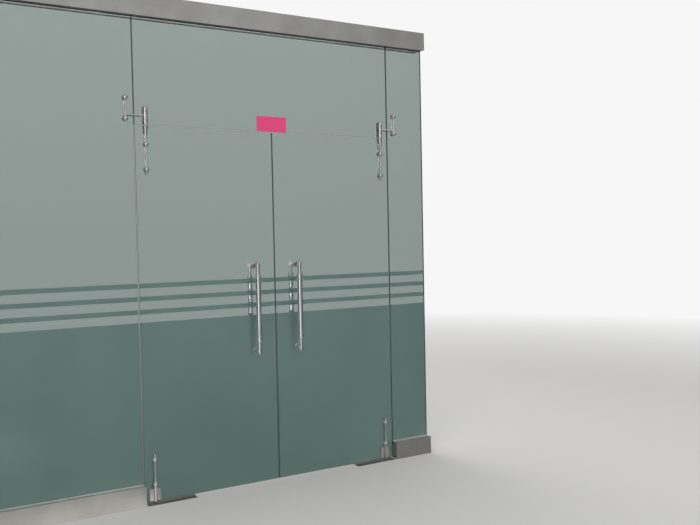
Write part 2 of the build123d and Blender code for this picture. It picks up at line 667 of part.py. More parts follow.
with BuildPart() as right_floor_spring:
    with BuildSketch(Plane.XY.offset(SPRING_BOTTOM)):
        with Locations((SPRING_CENTRE_X, 0)):
            RectangleRounded(SPRING_LENGTH, SPRING_WIDTH, SPRING_CORNER)
    extrude(amount=SPRING_HEIGHT)
    chamfer(right_floor_spring.faces().sort_by(Axis.Z)[-1].edges(), length=SPRING_TOP_DRAFT)
    with BuildSketch(Plane.XY.offset(SPRING_TOP)):
        with Locations((PIVOT_X, 0)):
            Circle(SPINDLE_DIAMETER / 2 + PIVOT_RUNNING_FIT)
    extrude(amount=-SPINDLE_DEPTH - TENON_END_GAP, mode=Mode.SUBTRACT)
    with BuildSketch(Plane.XY.offset(SPRING_TOP)):
        with Locations(*SCREW_POINTS):
            Circle(SCREW_DIAMETER / 2 + SCREW_FIT)
    extrude(amount=-SCREW_LENGTH, mode=Mode.SUBTRACT)

with BuildPart() as right_cement_box:
    with BuildSketch(Plane.XY.offset(-BOX_DEPTH)):
        with Locations((SPRING_CENTRE_X, 0)):
            Rectangle(BOX_LENGTH, BOX_WIDTH)
    extrude(amount=BOX_DEPTH)
    with BuildSketch(Plane.XY.offset(SPRING_BOTTOM)):
        with Locations((SPRING_CENTRE_X, 0)):
            Rectangle(BOX_LENGTH - 2 * BOX_SHEET, BOX_WIDTH - 2 * BOX_SHEET)
    extrude(amount=BOX_DEPTH, mode=Mode.SUBTRACT)

COVER_LENGTH = BOX_LENGTH + 2 * COVER_MARGIN
COVER_WIDTH = BOX_WIDTH + 2 * COVER_MARGIN

with BuildPart() as right_cover_plate:
    with BuildSketch(Plane.XY):
        with Locations((SPRING_CENTRE_X, 0)):
            RectangleRounded(COVER_LENGTH, COVER_WIDTH, COVER_CORNER)
        with Locations((PIVOT_X, 0)):
            Circle(SPINDLE_DIAMETER / 2 + COVER_HOLE_GAP, mode=Mode.SUBTRACT)
        with Locations(*SCREW_POINTS):
            Circle(SCREW_HEAD / 2 + SCREW_FIT, mode=Mode.SUBTRACT)
    extrude(amount=COVER_THICKNESS)

with BuildPart() as right_cover_screws:
    with BuildSketch(Plane.XY.offset(COVER_THICKNESS - SCREW_LENGTH)):
        with Locations(*SCREW_POINTS):
            Circle(SCREW_DIAMETER / 2)
    extrude(amount=SCREW_LENGTH)
    with BuildSketch(Plane.XY):
        with Locations(*SCREW_POINTS):
            Circle(SCREW_HEAD / 2)
    extrude(amount=COVER_THICKNESS)


# Pull handles: a turned grip whose thin ends are welded into the saddles of two posts

PULL_CENTRE = (PULL_INSET, -PULL_AXIS, PULL_CENTRE_HEIGHT)
PULL_SECTION = Plane(PULL_CENTRE, x_dir=(1, 0, 0), z_dir=(0, -1, 0))

with BuildPart() as right_leaf_pull_front:
    half_length = PULL_LENGTH / 2
    end_radius = PULL_END_DIAMETER / 2
    ring_end = half_length - PULL_RING_REACH
    sleeve_end = ring_end - PULL_RING_HEIGHT
    bead_end = sleeve_end - PULL_SLEEVE_HEIGHT
    grip_end = bead_end - PULL_BEAD_HEIGHT
    with BuildSketch(PULL_SECTION):
        with BuildLine():
            Polyline(
                (0, 0),
                (PULL_DIAMETER / 2, 0),
                (PULL_DIAMETER / 2, grip_end),
                (PULL_BEAD_DIAMETER / 2, grip_end + PULL_BEAD_HEIGHT / 2),
                (PULL_SLEEVE_DIAMETER / 2, bead_end),
                (PULL_SLEEVE_DIAMETER / 2, sleeve_end),
            )
            ThreePointArc(
                (PULL_SLEEVE_DIAMETER / 2, sleeve_end),
                (PULL_RING_DIAMETER / 2, sleeve_end + PULL_RING_HEIGHT / 2),
                (PULL_SLEEVE_DIAMETER / 2, ring_end),
            )
            Polyline(
                (PULL_SLEEVE_DIAMETER / 2, ring_end),
                (end_radius, ring_end),
                (end_radius, half_length - end_radius),
            )
            RadiusArc((end_radius, half_length - end_radius), (0, half_length), -end_radius)
            Line((0, half_length), (0, 0))
        make_face()
    revolve(axis=Axis((PULL_INSET, -PULL_AXIS, 0), (0, 0, 1)))
    mirror(about=Plane.XY.offset(PULL_CENTRE_HEIGHT))

POST_LENGTH = PULL_AXIS - PULL_END_DIAMETER / 2 + POST_SADDLE_DEPTH - CLAMP_FACE

with BuildPart() as right_leaf_pull_posts:
    with BuildSketch(Plane.XZ.offset(CLAMP_FACE)):
        with Locations(*PULL_POSTS):
            Circle(POST_DIAMETER / 2)
    extrude(amount=POST_LENGTH)
    fillet(
        right_leaf_pull_posts.edges().filter_by(GeomType.CIRCLE).group_by(Axis.Y)[0],
        radius=POST_END_RADIUS,
    )
    with BuildSketch(Plane.XZ.offset(CLAMP_FACE)):
        with Locations(*PULL_POSTS):
            Circle(ROSETTE_DIAMETER / 2)
    extrude(amount=ROSETTE_THICKNESS)
    with BuildSketch(Plane.XZ.offset(CLAMP_FACE)):
        with Locations(*PULL_POSTS):
            Circle(STUD_DIAMETER / 2 + STUD_FIT)
    extrude(amount=PULL_STUD_BITE + STUD_END_GAP, mode=Mode.SUBTRACT)
    with BuildSketch(Plane.XY.offset(PULL_CENTRE_HEIGHT - PULL_LENGTH)):
        with Locations((PULL_INSET, -PULL_AXIS)):
            Circle(PULL_END_DIAMETER / 2 + POST_BORE_FIT)
    extrude(amount=2 * PULL_LENGTH, mode=Mode.SUBTRACT)
    mirror(about=Plane.XZ)

with BuildPart() as right_leaf_pull_studs:
    studs(PULL_POSTS, STUD_DIAMETER, PULL_STUD_BITE)


# Bare plate on the approach face of the transom

with BuildPart() as sign_plate:
    with BuildSketch(Plane.XZ.offset(HALF_GLASS)):
        with Locations((0, TRANSOM_BOTTOM + SIGN_RISE + SIGN_HEIGHT / 2)):
            RectangleRounded(SIGN_WIDTH, SIGN_HEIGHT, SIGN_CORNER)
    extrude(amount=SIGN_THICKNESS)


# Finished pieces

os.makedirs("parts", exist_ok=True)

FIXED_PIECES = {
    "header_casing": header_casing,
    "header_tube": header_tube,
    "header_channel": header_channel,
    "left_plinth_casing": left_plinth_casing,
    "right_plinth_casing": right_plinth_casing,
    "left_plinth_tube": left_plinth_tube,
    "right_plinth_tube": right_plinth_tube,
    "left_plinth_channel": left_plinth_channel,
    "right_plinth_channel": right_plinth_channel,
    "glazing_seals": glazing_seals,
    "setting_blocks": setting_blocks,
    "silicone_joints": silicone_joints,
    "transom_glass": transom_glass,
    "left_sidelight_glass": left_sidelight_glass,
    "right_sidelight_glass": right_sidelight_glass,
    "left_sidelight_film": left_sidelight_film,
    "right_sidelight_film": right_sidelight_film,
    "sign_plate": sign_plate,
    "corner_clamp_studs": corner_clamp_studs,
    "corner_clamp_bushes": corner_clamp_bushes,
    "top_pivot_pins": top_pivot_pins,
}
for name, piece in FIXED_PIECES.items():
    write(piece, name)

CLAMP_HALVES = {
    "corner_clamp": right_corner_clamp_front,
    "leaf_top_clamp": right_leaf_top_clamp_front,
    "leaf_bottom_clamp": right_leaf_bottom_clamp_front,
    "leaf_pull": right_leaf_pull_front,
}
for name, front in CLAMP_HALVES.items():
    back = mirrored_copy(front, Plane.XZ)
    write(mirrored_copy(front, Plane.YZ), f"left_{name}_front")
    write(mirrored_copy(back, Plane.YZ), f"left_{name}_back")
    write(front, f"right_{name}_front")
    write(back, f"right_{name}_back")

HANDED_PIECES = {
    "leaf_glass": right_leaf_glass,
    "leaf_film": right_leaf_film,
    "leaf_bushes": right_leaf_bushes,
    "leaf_clamp_studs": right_leaf_clamp_studs,
    "leaf_pivot_bush": right_leaf_pivot_bush,
    "leaf_shoe": right_leaf_shoe,
    "leaf_spindle": right_leaf_spindle,
    "leaf_pull_posts": right_leaf_pull_posts,
    "leaf_pull_studs": right_leaf_pull_studs,
    "floor_spring": right_floor_spring,
}
for name, piece in HANDED_PIECES.items():
    write(mirrored_copy(piece, Plane.YZ), f"left_{name}")
    write(piece, f"right_{name}")

FLOOR_PIECES = {
    "cement_boxes": right_cement_box,
    "cover_plates": right_cover_plate,
    "cover_screws": right_cover_screws,
}
for name, piece in FLOOR_PIECES.items():
    with BuildPart() as pair:
        add(piece.part)
        mirror(about=Plane.YZ)
    write(pair, name)
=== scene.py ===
"""Finishes, fine pieces, camera and light for a double-action glass entrance.

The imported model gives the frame: the origin is on the finished floor, on the meeting line of the
leaves and in the middle of the glass. +X is to the right as seen from the approach side, which is
-Y, and +Z is up. Everything is in metres.
"""

import json
import logging
import math
import random
from dataclasses import dataclass
from enum import Enum

import bmesh
import bpy
from mathutils import Matrix, Vector

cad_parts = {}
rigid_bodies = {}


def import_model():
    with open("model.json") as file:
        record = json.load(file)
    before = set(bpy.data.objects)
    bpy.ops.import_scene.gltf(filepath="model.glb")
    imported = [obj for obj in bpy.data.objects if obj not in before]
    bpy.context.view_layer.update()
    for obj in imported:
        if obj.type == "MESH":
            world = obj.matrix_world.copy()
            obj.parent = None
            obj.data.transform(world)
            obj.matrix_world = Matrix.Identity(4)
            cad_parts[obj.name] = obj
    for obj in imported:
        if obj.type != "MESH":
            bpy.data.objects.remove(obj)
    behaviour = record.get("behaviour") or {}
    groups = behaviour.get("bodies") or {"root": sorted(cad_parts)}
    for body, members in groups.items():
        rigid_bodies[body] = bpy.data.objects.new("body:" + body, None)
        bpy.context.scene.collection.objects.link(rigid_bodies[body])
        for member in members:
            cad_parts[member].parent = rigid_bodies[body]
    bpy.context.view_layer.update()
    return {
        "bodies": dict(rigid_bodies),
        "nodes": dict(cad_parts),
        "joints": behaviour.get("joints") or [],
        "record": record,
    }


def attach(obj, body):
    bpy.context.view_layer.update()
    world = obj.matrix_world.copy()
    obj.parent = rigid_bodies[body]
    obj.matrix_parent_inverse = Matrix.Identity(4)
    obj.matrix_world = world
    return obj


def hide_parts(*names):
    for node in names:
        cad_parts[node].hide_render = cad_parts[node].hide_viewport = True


LOG = logging.getLogger("glass_entrance")
MM = 0.001
ALL_ROUND = 180.0

Colour = tuple[float, float, float]
Point = tuple[float, float, float]
Span = tuple[float, float]
Node = bpy.types.Node
Socket = bpy.types.NodeSocket


class Side(Enum):
    """The two sides of the entrance, as the sign of X."""

    LEFT = -1
    RIGHT = 1


class Face(Enum):
    """The two faces of the glass, as the sign of Y."""

    APPROACH = -1
    INNER = 1


class Grain(Enum):
    """Which way a metal's fine lines run, as the stretch of its pattern along X, Y and Z."""

    ALONG_X = (3.0, 420.0, 420.0)
    ALONG_Z = (420.0, 420.0, 3.0)
    ROUND_Z = (6.0, 6.0, 900.0)


class Wires:
    """Adds and links the nodes of one shader tree."""

    # A mix node has a set of sockets for each kind of data: these are the colour ones.
    FIRST_COLOUR, SECOND_COLOUR, MIXED_COLOUR = 6, 7, 2

    def __init__(self, tree: bpy.types.NodeTree) -> None:
        """Start with an empty tree and its coordinates.

        Args:
            tree: The tree of a material or the world.
        """
        self.tree = tree
        self.tree.nodes.clear()
        self.coordinates = self.tree.nodes.new("ShaderNodeTexCoord")

    def node(self, kind: str, **inputs: object) -> Node:
        """Add a node and set or link its inputs.

        Args:
            kind: The node's type name.
            **inputs: Input names, with spaces as underscores, and a value or an output socket.

        Returns:
            The new node.
        """
        node = self.tree.nodes.new(kind)
        for key, value in inputs.items():
            self.feed(node.inputs[key.replace("_", " ")], value)
        return node

    def feed(self, socket: Socket, value: object) -> None:
        """Link a socket to an output, or set it to a value.

        Args:
            socket: The input to feed.
            value: An output socket, a number, a vector or a colour.
        """
        if isinstance(value, bpy.types.NodeSocket):
            self.tree.links.new(value, socket)
        elif isinstance(value, tuple) and len(value) == 3 and socket.type == "RGBA":
            socket.default_value = (*value, 1.0)
        else:
            socket.default_value = value

    def between(
        self,
        factor: Socket,
        low: float,
        high: float,
        start: float = 0.0,
        end: float = 1.0,
        soft: bool = False,
    ) -> Socket:
        """Map a factor to a range of values.

        Args:
            factor: The factor.
            low: The value at the start.
            high: The value at the end.
            start: The factor at which the range starts.
            end: The factor at which the range ends.
            soft: Whether it starts and ends gently.

        Returns:
            The mapped value.
        """
        node = self.node(
            "ShaderNodeMapRange", Value=factor, From_Min=start, From_Max=end, To_Min=low, To_Max=high
        )
        node.interpolation_type = "SMOOTHSTEP" if soft else "LINEAR"
        return node.outputs["Result"]

    def sums(self, operation: str, first: object, second: object) -> Socket:
        """One step of arithmetic.

        Args:
            operation: The name of the operation.
            first: The first value or output.
            second: The second value or output.

        Returns:
            The result.
        """
        node = self.tree.nodes.new("ShaderNodeMath")
        node.operation = operation
        self.feed(node.inputs[0], first)
        self.feed(node.inputs[1], second)
        return node.outputs[0]

    def vectors(self, operation: str, first: Socket, second: Point | None = None) -> Node:
        """One step of vector arithmetic.

        Args:
            operation: The name of the operation.
            first: The first vector.
            second: The second vector, where the operation has one.

        Returns:
            The node, which has a Vector and a Value output.
        """
        node = self.tree.nodes.new("ShaderNodeVectorMath")
        node.operation = operation
        self.feed(node.inputs[0], first)
        if second is not None:
            self.feed(node.inputs[1], second)
        return node

    def blend(self, factor: Socket, first: object, second: object) -> Socket:
        """Mix two colours.

        Args:
            factor: How much of the second there is.
            first: The first colour or output.
            second: The second colour or output.

        Returns:
            The mixed colour.
        """
        node = self.tree.nodes.new("ShaderNodeMix")
        node.data_type = "RGBA"
        self.feed(node.inputs[0], factor)
        self.feed(node.inputs[self.FIRST_COLOUR], first)
        self.feed(node.inputs[self.SECOND_COLOUR], second)
        return node.outputs[self.MIXED_COLOUR]


class Recipe(Wires):
    """Wires the nodes of one material."""

    def __init__(self, name: str) -> None:
        """Start an empty material.

        Args:
            name: The material's name.
        """
        self.material = bpy.data.materials.new(name)
        self.material.use_nodes = True
        super().__init__(self.material.node_tree)

    def place(self, scale: Point = (1.0, 1.0, 1.0)) -> Socket:
        """Object coordinates, stretched.

        Args:
            scale: The stretch along each axis.

        Returns:
            The vector output.
        """
        mapping = self.node("ShaderNodeMapping", Vector=self.coordinates.outputs["Object"])
        mapping.inputs["Scale"].default_value = scale
        return mapping.outputs["Vector"]

    def noise(self, scale: float, detail: float = 3.0, stretch: Point = (1.0, 1.0, 1.0)) -> Socket:
        """A noise pattern over the object's own space.

        Args:
            scale: How many patches there are to a metre.
            detail: How many finer layers it has.
            stretch: The stretch along each axis.

        Returns:
            The factor output, from 0 to 1.
        """
        node = self.node("ShaderNodeTexNoise", Vector=self.place(stretch), Scale=scale, Detail=detail)
        return node.outputs["Fac"]

    def cells(self, scale: float) -> Socket:
        """A pattern of flat cells, each with its own grey.

        Args:
            scale: How many cells there are to a metre.

        Returns:
            The grey of each cell.
        """
        node = self.node("ShaderNodeTexVoronoi", Vector=self.place(), Scale=scale)
        return self.node("ShaderNodeSeparateColor", Color=node.outputs["Color"]).outputs["Red"]

    def bump(self, height: Socket, distance: float, strength: float = 1.0) -> Socket:
        """Turn a height into a bumped normal.

        Args:
            height: The height pattern.
            distance: The height of the relief in metres.
            strength: How much of it shows.

        Returns:
            The normal output.
        """
        node = self.node("ShaderNodeBump", Height=height, Distance=distance, Strength=strength)
        return node.outputs["Normal"]

    def principled(self, **inputs: object) -> Node:
        """Add the main shader.

        Args:
            **inputs: Its inputs, with spaces as underscores.

        Returns:
            The shader's node.
        """
        return self.node("ShaderNodeBsdfPrincipled", **inputs)

    def with_shadow(self, shader: Socket, passed: object) -> Socket:
        """Let a share of the light through where the piece would cast a shadow.

        Args:
            shader: The shader that every other ray meets.
            passed: The colour or output of the light that gets through.

        Returns:
            The mixed shader.
        """
        clear = self.node("ShaderNodeBsdfTransparent", Color=passed)
        path = self.tree.nodes.new("ShaderNodeLightPath")
        return self.mix(path.outputs["Is Shadow Ray"], shader, clear.outputs[0])

    def mix(self, factor: object, first: Socket, second: Socket) -> Socket:
        """Mix two shaders.

        Args:
            factor: How much of the second there is.
            first: The first shader.
            second: The second shader.

        Returns:
            The mixed shader.
        """
        node = self.node("ShaderNodeMixShader", Fac=factor)
        self.feed(node.inputs[1], first)
        self.feed(node.inputs[2], second)
        return node.outputs[0]

    def done(self, shader: Socket) -> bpy.types.Material:
        """Put a shader on the material's output.

        Args:
            shader: The shader's output.

        Returns:
            The finished material.
        """
        self.node("ShaderNodeOutputMaterial", Surface=shader)
        return self.material


@dataclass(frozen=True)
class ToughenedGlass:
    """Clear toughened glass, its grey-green deepened with painted shade of the dim room behind, and dull
    ground edges, green from their long path and darker still with painted shade.
    """

    name: str
    tint_and_room_shade: Colour
    edge: Colour
    ior: float = 1.5
    smear: float = 0.03
    ground: float = 0.4
    edge_turn: Span = (0.75, 0.95)
    wipes: float = 2.2
    wipe_stretch: Point = (1.0, 1.0, 2.4)
    wipe_range: Span = (0.5, 0.8)
    shadow_gamma: float = 0.5

    def material(self) -> bpy.types.Material:
        """Build the material: clear faces with faint wiping marks, and dense green ground edges; both colours
        carry painted shade.
        """
        recipe = Recipe(self.name)
        normal = recipe.node("ShaderNodeSeparateXYZ", Vector=recipe.coordinates.outputs["Normal"])
        flat = recipe.sums("ABSOLUTE", normal.outputs["Y"], 0.0)
        on_edge = recipe.between(flat, 1.0, 0.0, *self.edge_turn)
        # Painted shade: the face and edge colours are darker than the glass's own, standing in for the dim
        # room seen through it.
        tint_and_room_shade = recipe.blend(on_edge, self.tint_and_room_shade, self.edge)
        wiped = recipe.noise(self.wipes, detail=4.0, stretch=self.wipe_stretch)
        smeared = recipe.between(wiped, 0.0, self.smear, *self.wipe_range)
        rough = recipe.sums("ADD", smeared, recipe.sums("MULTIPLY", on_edge, self.ground))
        glass = recipe.principled(Base_Color=tint_and_room_shade, Roughness=rough, IOR=self.ior, Transmission_Weight=1.0)
        # The light that the panes let through for shadows carries the same painted shade.
        passed = recipe.node("ShaderNodeGamma", Color=tint_and_room_shade, Gamma=self.shadow_gamma)
        return recipe.done(recipe.with_shadow(glass.outputs[0], passed.outputs[0]))


@dataclass(frozen=True)
class FrostedFilm:
    """Frosted film: a milky skin that lights up from behind, with faint clouds where it was smoothed down."""

    name: str
    colour: Colour
    cloud: Colour
    through: float = 0.68
    passed: float = 0.3
    clouds: float = 2.4
    cloud_stretch: Point = (1.0, 1.0, 0.5)
    cloud_range: Span = (0.35, 0.7)
    grit: float = 900.0
    grit_rough: Span = (0.5, 0.7)

    def material(self) -> bpy.types.Material:
        """Build the material."""
        recipe = Recipe(self.name)
        clouds = recipe.noise(self.clouds, stretch=self.cloud_stretch)
        colour = recipe.blend(recipe.between(clouds, 0.0, 1.0, *self.cloud_range), self.colour, self.cloud)
        rough = recipe.between(recipe.noise(self.grit, detail=2.0), *self.grit_rough)
        skin = recipe.principled(Base_Color=colour, Roughness=rough)
        glow = recipe.node("ShaderNodeBsdfTranslucent", Color=colour)
        film = recipe.mix(self.through, skin.outputs[0], glow.outputs[0])
        return recipe.done(recipe.with_shadow(film, (self.passed, self.passed, self.passed)))


@dataclass(frozen=True)
class GrainedMetal:
    """Bare metal with the lines of a belt, brush or lathe, small scratches and handling marks."""

    name: str
    colour: Colour
    worn: Colour
    grain: Grain
    smooth: float
    rough: float
    relief: float = 0.01
    marks: float = 6.0
    mark_range: Span = (0.4, 0.72)
    line_share: float = 0.6
    bite: float = 0.6

    def material(self) -> bpy.types.Material:
        """Build the material."""
        recipe = Recipe(self.name)
        lines = recipe.noise(1.0, detail=5.0, stretch=self.grain.value)
        marks = recipe.noise(self.marks, detail=4.0)
        colour = recipe.blend(recipe.between(marks, 0.0, 1.0, *self.mark_range), self.colour, self.worn)
        lined = recipe.between(lines, 0.0, self.line_share)
        marked = recipe.between(marks, 0.0, 1.0 - self.line_share)
        rough = recipe.between(recipe.sums("ADD", lined, marked), self.smooth, self.rough)
        normal = recipe.bump(lines, self.relief * MM, self.bite)
        metal = recipe.principled(Base_Color=colour, Metallic=1.0, Roughness=rough, Normal=normal)
        return recipe.done(metal.outputs[0])


@dataclass(frozen=True)
class SpangledZinc:
    """Hot-dip zinc with its crystal cells."""

    name: str
    colour: Colour
    dull: Colour
    spangles: float = 90.0
    stains: float = 12.0
    contrast: float = 0.8
    rough: Span = (0.32, 0.6)
    rough_range: Span = (0.2, 1.6)

    def material(self) -> bpy.types.Material:
        """Build the material."""
        recipe = Recipe(self.name)
        cells = recipe.cells(self.spangles)
        stain = recipe.noise(self.stains, detail=4.0)
        colour = recipe.blend(recipe.between(cells, 0.0, self.contrast), self.colour, self.dull)
        rough = recipe.between(recipe.sums("ADD", cells, stain), *self.rough, *self.rough_range)
        zinc = recipe.principled(Base_Color=colour, Metallic=1.0, Roughness=rough)
        return recipe.done(zinc.outputs[0])


@dataclass(frozen=True)
class Coating:
    """Paint, rubber or plastic with its own skin texture and a little dirt in random patches."""

    name: str
    colour: Colour
    dirt: Colour
    gloss: float
    dull: float
    skin: float
    relief: float
    coat: float = 0.0
    smudges: float = 9.0
    dirt_share: float = 0.7
    dirt_range: Span = (0.42, 0.8)
    rough_range: Span = (0.3, 1.5)
    bite: float = 0.7

    def material(self) -> bpy.types.Material:
        """Build the material."""
        recipe = Recipe(self.name)
        skin = recipe.noise(self.skin)
        dirt = recipe.noise(self.smudges, detail=4.0)
        dirty = recipe.between(dirt, 0.0, self.dirt_share, *self.dirt_range)
        colour = recipe.blend(dirty, self.colour, self.dirt)
        rough = recipe.between(recipe.sums("ADD", skin, dirt), self.gloss, self.dull, *self.rough_range)
        normal = recipe.bump(skin, self.relief * MM, self.bite)
        paint = recipe.principled(Base_Color=colour, Roughness=rough, Normal=normal, Coat_Weight=self.coat)
        return recipe.done(paint.outputs[0])


class Palette:
    """The finishes of the entrance, each built once."""

    CHOICES = {
        # Painted shade: these colours are the glass's grey-green, darkened to stand in for the dim room
        # behind it.
        "tinted_glass": ToughenedGlass("pane_glass", (0.28, 0.335, 0.315), (0.010, 0.03, 0.024)),
        "frosted_film": FrostedFilm("frosted_film", (0.668, 0.78, 0.775), (0.725, 0.837, 0.822)),
        "satin_casing": GrainedMetal(
            "satin_casing", (0.56, 0.555, 0.53), (0.48, 0.475, 0.45), Grain.ALONG_X, 0.28, 0.46
        ),
        "steel_tube": Coating(
            "primed_tube", (0.24, 0.235, 0.22), (0.12, 0.09, 0.07), 0.4, 0.7, 300.0, 0.05
        ),
        "glazing_channel": GrainedMetal(
            "channel_aluminium", (0.80, 0.81, 0.80), (0.66, 0.67, 0.66), Grain.ALONG_X, 0.25, 0.45
        ),
        "seal_rubber": Coating(
            "seal_rubber", (0.022, 0.026, 0.025), (0.06, 0.06, 0.055), 0.5, 0.8, 900.0, 0.03
        ),
        "silicone": Coating(
            "joint_silicone", (0.055, 0.085, 0.08), (0.10, 0.12, 0.11), 0.22, 0.45, 160.0, 0.08
        ),
        "pale_silicone": Coating(
            "pale_silicone", (0.58, 0.62, 0.60), (0.40, 0.42, 0.40), 0.25, 0.5, 160.0, 0.08
        ),
        "block_plastic": Coating(
            "block_plastic", (0.03, 0.03, 0.03), (0.08, 0.08, 0.075), 0.4, 0.6, 700.0, 0.03
        ),
        "nylon": Coating("bush_nylon", (0.72, 0.72, 0.68), (0.5, 0.49, 0.45), 0.3, 0.5, 900.0, 0.02),
        "turned_steel": GrainedMetal(
            "turned_steel", (0.58, 0.575, 0.56), (0.45, 0.44, 0.42), Grain.ROUND_Z, 0.2, 0.4
        ),
        "bronze": GrainedMetal(
            "bearing_bronze", (0.55, 0.36, 0.16), (0.36, 0.22, 0.1), Grain.ROUND_Z, 0.25, 0.5
        ),
        "polished_steel": GrainedMetal(
            "polished_steel", (0.86, 0.855, 0.86), (0.75, 0.74, 0.74), Grain.ALONG_Z, 0.03, 0.10, 0.002, 14.0
        ),
        "cast_body": Coating(
            "cast_body_paint", (0.09, 0.11, 0.12), (0.2, 0.17, 0.13), 0.35, 0.65, 420.0, 0.25
        ),
        "galvanised_sheet": SpangledZinc("galvanised_sheet", (0.56, 0.58, 0.59), (0.38, 0.40, 0.41)),
        "cover_steel": GrainedMetal(
            "cover_steel", (0.28, 0.27, 0.235), (0.17, 0.16, 0.135), Grain.ALONG_X, 0.3, 0.55, 0.02
        ),
        "sign_plastic": Coating(
            "sign_acrylic", (0.83, 0.042, 0.215), (0.76, 0.05, 0.205), 0.12, 0.25, 40.0, 0.02, 0.6
        ),
    }

    def __init__(self) -> None:
        """Start with nothing built."""
        self.built: dict[str, bpy.types.Material] = {}

    def get(self, slot: str) -> bpy.types.Material:
        """The material of a slot, built when first asked for.

        Args:
            slot: The record's material slot.

        Returns:
            The material.
        """
        if slot not in self.built:
            self.built[slot] = self.CHOICES[slot].material()
        return self.built[slot]


class GeometryRecipe:
    """Wires the nodes of one Geometry Nodes tree with named inputs."""

    def __init__(self, name: str) -> None:
        """Start a tree that takes and gives geometry.

        Args:
            name: The tree's name.
        """
        self.tree = bpy.data.node_groups.new(name, "GeometryNodeTree")
        self.tree.interface.new_socket("Geometry", in_out="INPUT", socket_type="NodeSocketGeometry")
        self.tree.interface.new_socket("Geometry", in_out="OUTPUT", socket_type="NodeSocketGeometry")
        self.source = self.tree.nodes.new("NodeGroupInput")
        self.identifiers: dict[str, str] = {}

    def size(self, name: str) -> Socket:
        """Add a named length to the tree's inputs.

        Args:
            name: The input's name.

        Returns:
            The output that carries it inside the tree.
        """
        item = self.tree.interface.new_socket(name, in_out="INPUT", socket_type="NodeSocketFloat")
        self.identifiers[name] = item.identifier
        return self.source.outputs[name]

    def node(self, kind: str, settings: dict[str, str] | None = None, **inputs: object) -> Node:
        """Add a node, choose its settings, and set or link its inputs.

        Args:
            kind: The node's type name.
            settings: Properties to set before the inputs.
            **inputs: Input names, with spaces as underscores, and a value or an output socket.

        Returns:
            The new node.
        """
        node = self.tree.nodes.new(kind)
        for key, value in (settings or {}).items():
            setattr(node, key, value)
        for key, value in inputs.items():
            socket = node.inputs[key.replace("_", " ")]
            if isinstance(value, bpy.types.NodeSocket):
                self.tree.links.new(value, socket)
            else:
                socket.default_value = value
        return node

    def share_of(self, socket: Socket, share: float = 0.5) -> Socket:
        """A share of a length.

        Args:
            socket: The length.
            share: The share to take.

        Returns:
            The shared length.
        """
        node = self.tree.nodes.new("ShaderNodeMath")
        node.operation = "MULTIPLY"
        self.tree.links.new(socket, node.inputs[0])
        node.inputs[1].default_value = share
        return node.outputs[0]

    def vector(self, x: object, y: object, z: object) -> Socket:
        """Join three lengths into a vector.

        Args:
            x: The length or value along X.
            y: The length or value along Y.
            z: The length or value along Z.

        Returns:
            The vector.
        """
        return self.node("ShaderNodeCombineXYZ", X=x, Y=y, Z=z).outputs[0]

    def run(self, name: str, mesh: bpy.types.Mesh, sizes: dict[str, float]) -> bpy.types.Object:
        """Apply the tree to a mesh and keep the result as a plain mesh.

        Args:
            name: The new piece's name.
            mesh: The points or lines that the tree works on.
            sizes: A value for each named input.

        Returns:
            The new piece, with no modifier on it.
        """
        carrier = bpy.data.objects.new(name, mesh)
        bpy.context.scene.collection.objects.link(carrier)
        modifier = carrier.modifiers.new("shape", "NODES")
        modifier.node_group = self.tree
        for key, value in sizes.items():
            modifier[self.identifiers[key]] = value
        bpy.context.view_layer.update()
        graph = bpy.context.evaluated_depsgraph_get()
        result = bpy.data.meshes.new_from_object(carrier.evaluated_get(graph))
        carrier.modifiers.clear()
        carrier.data = result
        result.name = name
        return carrier

    def finish(self, geometry: Socket, material: bpy.types.Material) -> None:
        """End the tree in real geometry that carries its material.

        Args:
            geometry: The geometry to give out.
            material: The material that it carries.
        """
        real = self.node("GeometryNodeRealizeInstances", Geometry=geometry)
        dressed = self.node("GeometryNodeSetMaterial", Geometry=real.outputs[0], Material=material)
        output = self.tree.nodes.new("NodeGroupOutput")
        self.tree.links.new(dressed.outputs[0], output.inputs[0])


def line_mesh(name: str, runs: list[tuple[Point, Point]]) -> bpy.types.Mesh:
    """A mesh of separate straight lines.

    Args:
        name: The mesh's name.
        runs: The ends of each line.

    Returns:
        The mesh.
    """
    mesh = bpy.data.meshes.new(name)
    points = [point for run in runs for point in run]
    mesh.from_pydata(points, [(2 * i, 2 * i + 1) for i in range(len(runs))], [])
    return mesh


def point_mesh(name: str, points: list[Point]) -> bpy.types.Mesh:
    """A mesh of loose points.

    Args:
        name: The mesh's name.
        points: Where they are.

    Returns:
        The mesh.
    """
    mesh = bpy.data.meshes.new(name)
    mesh.from_pydata(points, [], [])
    return mesh


def new_piece(name: str, mesh: bpy.types.Mesh, material: bpy.types.Material) -> bpy.types.Object:
    """Put a finished mesh into the scene with outward faces and one material.

    Args:
        name: The piece's name.
        mesh: Its mesh, in place.
        material: Its material.

    Returns:
        The new object.
    """
    shell = bmesh.new()
    shell.from_mesh(mesh)
    bmesh.ops.recalc_face_normals(shell, faces=shell.faces)
    shell.to_mesh(mesh)
    shell.free()
    mesh.materials.clear()
    mesh.materials.append(material)
    piece = bpy.data.objects.new(name, mesh)
    bpy.context.scene.collection.objects.link(piece)
    return piece


@dataclass
class Assembly:
    """What every sub-assembly has: the frame, the finishes, and where walls and sidelights end along X."""

    frame: dict
    palette: Palette
    left_wall: float = 1.734
    right_wall: float = 1.155
    sidelight_edge: float = 0.866

    def dress(self, *slots: str) -> None:
        """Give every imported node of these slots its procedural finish.

        Args:
            *slots: The record's material slots.
        """
        for part in self.frame["record"]["subparts"]:
            if part["material_slot"] not in slots:
                continue
            mesh = self.frame["nodes"][part["node"]].data
            material = self.palette.get(part["material_slot"])
            for index in range(max(1, len(mesh.materials))):
                if index < len(mesh.materials):
                    mesh.materials[index] = material
                else:
                    mesh.materials.append(material)
            LOG.info("dressed %s in %s", part["node"], material.name)


